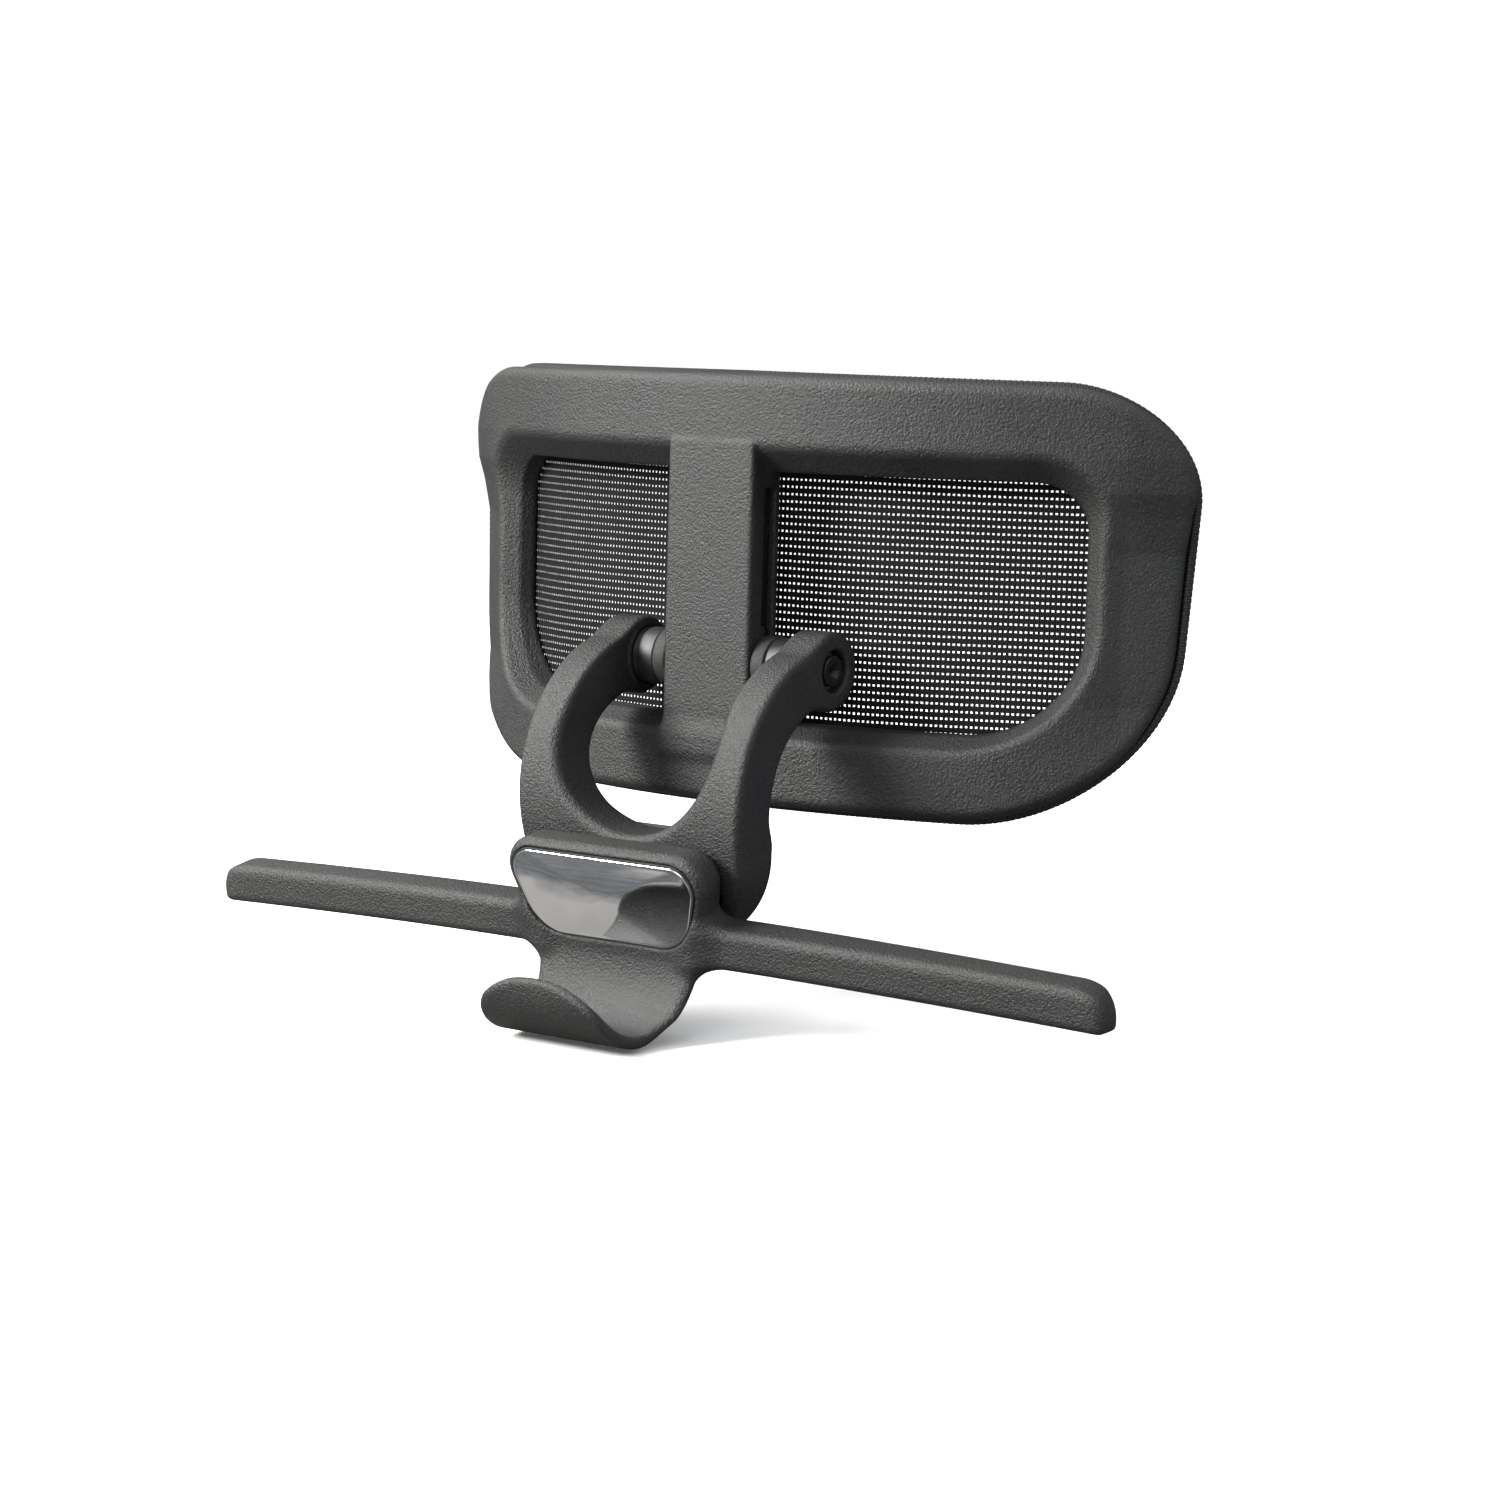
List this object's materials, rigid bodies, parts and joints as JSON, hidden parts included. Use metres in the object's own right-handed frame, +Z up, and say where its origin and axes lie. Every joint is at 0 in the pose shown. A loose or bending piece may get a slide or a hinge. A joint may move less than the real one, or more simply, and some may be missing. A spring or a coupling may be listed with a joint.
{
  "type": "chair headrest attachment",
  "caption": "Tilting, height-adjustable mesh headrest on a two-armed yoke that bolts to a chair back, with a coat hanger and hook behind it.",
  "frame": {"origin": "middle of the pad face that is drawn against the chair back, between the two mounting studs", "axes": "+X to the left seen from behind, along the coat hanger; +Y to the rear, away from the sitter; +Z up"},
  "size_m": [0.374, 0.1754, 0.218],
  "materials": {
    "black_plastic": "fine spark-eroded grain",
    "dark_plastic": "smooth, semi-matt",
    "natural_plastic": "smooth, low friction",
    "mesh_fabric": "open elastic weave",
    "collar_metal": "satin grey",
    "bright_steel": "zinc plated",
    "black_steel": "black oxide",
    "brass_bush": "machined",
    "chrome_trim": "mirror",
    "black_rubber": "matt"
  },
  "bodies": {
    "bracket": {"yoke": "black_plastic", "mount_pad": "black_rubber", "mount_bolts": "bright_steel", "mount_washers": "bright_steel", "pivot_bush_l": "brass_bush", "pivot_bush_r": "brass_bush", "friction_collar_l": "collar_metal", "friction_collar_r": "collar_metal", "disc_springs": "bright_steel", "hanger": "black_plastic", "hanger_screws": "bright_steel", "hanger_inserts": "brass_bush", "badge_gasket": "black_rubber", "badge": "chrome_trim"},
    "slider": {"pivot_axle": "bright_steel", "slider_block": "natural_plastic", "friction_disc_l": "dark_plastic", "friction_disc_r": "dark_plastic", "pivot_washers": "black_steel", "pivot_screws": "black_steel", "detent_spring": "bright_steel", "detent_ball": "bright_steel"},
    "headrest": {"head_frame": "black_plastic", "rail_cover": "dark_plastic", "rail_screws": "bright_steel", "detent_rack": "natural_plastic", "end_buffers": "black_rubber", "mesh_retainer": "dark_plastic", "mesh_panel": "mesh_fabric", "mesh_rim": "mesh_fabric"}
  },
  "joints": [
    {"name": "tilt", "type": "hinge", "parent": "bracket", "child": "slider", "pos_m": [0, -0.033, 0.07], "axis": [1, 0, 0], "range_deg": [-30, 3]},
    {"name": "height", "type": "slide", "parent": "slider", "child": "headrest", "axis": [0, -0.048, 0.9988], "range_m": [-0.048, 0.004]}
  ]
}
